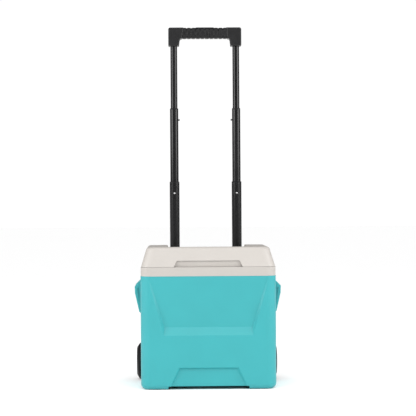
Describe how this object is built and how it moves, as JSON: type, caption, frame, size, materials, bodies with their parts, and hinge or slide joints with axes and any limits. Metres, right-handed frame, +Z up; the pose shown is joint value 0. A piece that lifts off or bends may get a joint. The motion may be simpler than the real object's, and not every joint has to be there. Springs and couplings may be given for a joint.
{
  "type": "wheeled cooler",
  "caption": "Hard-sided wheeled cooler box with a hinged lid, side scoop handles and a telescopic pull handle drawn out.",
  "frame": {"origin": "on the ground under the middle of the whole object's bounding box", "axes": "+Z up, +X to the right seen from the front, +Y to the back, where the handle is"},
  "size_m": [0.3708, 0.286, 0.9365],
  "materials": {
    "shell": "satin",
    "liner": "satin",
    "lid": "satin",
    "foam": "matte",
    "hinge_plastic": "satin",
    "steel": "satin",
    "tube": "satin",
    "black_plastic": "satin",
    "collar": "satin",
    "bright_pin": "satin",
    "dark_pin": "satin",
    "grip_rubber": "matte",
    "button": "satin",
    "tyre": "matte"
  },
  "bodies": {
    "root": {"body_shell": "shell", "body_liner": "liner", "body_foam": "foam", "hinge_screws": "steel", "bracket_screws": "steel", "hinge_bracket_left": "hinge_plastic", "hinge_bracket_right": "hinge_plastic", "housing_tube_left": "tube", "housing_tube_right": "tube", "housing_guide_left": "collar", "housing_guide_right": "collar", "handle_top_bracket": "black_plastic", "handle_bottom_bracket": "black_plastic", "axle_pin_left": "steel", "axle_pin_right": "steel", "wheel_washers": "steel", "axle_caps": "steel"},
    "lid": {"lid_shell": "lid", "lid_liner": "liner", "lid_foam": "foam", "hinge_pin_left": "steel", "hinge_pin_right": "steel"},
    "lower_stage": {"lower_tube_left": "tube", "lower_tube_right": "tube", "lower_guide_left": "collar", "lower_guide_right": "collar", "lower_foot_left": "collar", "lower_foot_right": "collar", "lower_lock_springs": "steel"},
    "middle_stage": {"middle_tube_left": "tube", "middle_tube_right": "tube", "middle_guide_left": "collar", "middle_guide_right": "collar", "middle_foot_left": "collar", "middle_foot_right": "collar", "middle_lock_springs": "steel"},
    "upper_stage": {"upper_tube_left": "tube", "upper_tube_right": "tube", "upper_foot_left": "collar", "upper_foot_right": "collar", "upper_lock_springs": "steel", "grip_frame": "black_plastic", "grip_sleeve": "grip_rubber", "grip_screws": "steel", "button_spring": "steel"},
    "button": {"release_button": "button", "button_yoke": "black_plastic"},
    "lower_lock_left": {"lower_lock_pin_left": "bright_pin"},
    "lower_lock_right": {"lower_lock_pin_right": "bright_pin"},
    "middle_lock_left": {"middle_lock_pin_left": "bright_pin"},
    "middle_lock_right": {"middle_lock_pin_right": "bright_pin"},
    "upper_lock_left": {"upper_lock_pin_left": "dark_pin"},
    "upper_lock_right": {"upper_lock_pin_right": "dark_pin"},
    "wheel_left": {"wheel_rim_left": "black_plastic", "wheel_tyre_left": "tyre"},
    "wheel_right": {"wheel_rim_right": "black_plastic", "wheel_tyre_right": "tyre"}
  },
  "joints": [
    {"name": "lid_hinge", "type": "hinge", "parent": "root", "child": "lid", "pos_m": [0, 0.107, 0.3465], "axis": [-1, 0, 0], "range_deg": [0, 90]},
    {"name": "lower_slide", "type": "slide", "parent": "root", "child": "lower_stage", "axis": [0, 0, 1], "range_m": [-0.1985, 0], "deforming": ["lower_lock_pin_left", "lower_lock_pin_right"]},
    {"name": "middle_slide", "type": "slide", "parent": "lower_stage", "child": "middle_stage", "axis": [0, 0, 1], "range_m": [-0.1815, 0], "deforming": ["middle_lock_pin_left", "middle_lock_pin_right"]},
    {"name": "upper_slide", "type": "slide", "parent": "middle_stage", "child": "upper_stage", "axis": [0, 0, 1], "range_m": [-0.1655, 0], "deforming": ["upper_lock_pin_left", "upper_lock_pin_right"]},
    {"name": "button_press", "type": "slide", "parent": "upper_stage", "child": "button", "axis": [0, 0, 1], "range_m": [-0.003, 0], "stiffness_N_per_m": 1200, "springref_m": 0.002, "deforming": ["button_spring", "upper_lock_springs"]},
    {"name": "lower_lock_press_left", "type": "slide", "parent": "lower_stage", "child": "lower_lock_left", "axis": [0, -1, 0], "range_m": [-0.0026, 0], "stiffness_N_per_m": 400, "springref_m": 0.004, "deforming": ["lower_lock_springs"]},
    {"name": "lower_lock_press_right", "type": "slide", "parent": "lower_stage", "child": "lower_lock_right", "axis": [0, -1, 0], "range_m": [-0.0026, 0], "stiffness_N_per_m": 400, "springref_m": 0.004, "deforming": ["lower_lock_springs"]},
    {"name": "middle_lock_press_left", "type": "slide", "parent": "middle_stage", "child": "middle_lock_left", "axis": [0, -1, 0], "range_m": [-0.0026, 0], "stiffness_N_per_m": 400, "springref_m": 0.004, "deforming": ["middle_lock_springs"]},
    {"name": "middle_lock_press_right", "type": "slide", "parent": "middle_stage", "child": "middle_lock_right", "axis": [0, -1, 0], "range_m": [-0.0026, 0], "stiffness_N_per_m": 400, "springref_m": 0.004, "deforming": ["middle_lock_springs"]},
    {"name": "upper_lock_press_left", "type": "slide", "parent": "upper_stage", "child": "upper_lock_left", "axis": [1, 0, 0], "range_m": [-0.0054, 0], "stiffness_N_per_m": 400, "springref_m": 0.004},
    {"name": "upper_lock_press_right", "type": "slide", "parent": "upper_stage", "child": "upper_lock_right", "axis": [-1, 0, 0], "range_m": [-0.0054, 0], "stiffness_N_per_m": 400, "springref_m": 0.004},
    {"name": "wheel_spin_left", "type": "hinge", "parent": "root", "child": "wheel_left", "pos_m": [-0.16865, 0.095, 0.048], "axis": [1, 0, 0], "continuous": true},
    {"name": "wheel_spin_right", "type": "hinge", "parent": "root", "child": "wheel_right", "pos_m": [0.16865, 0.095, 0.048], "axis": [1, 0, 0], "continuous": true}
  ],
  "couplings": [
    {"joint": "upper_lock_press_left", "follows": "button_press", "ratio": 1.8},
    {"joint": "upper_lock_press_right", "follows": "button_press", "ratio": 1.8}
  ]
}
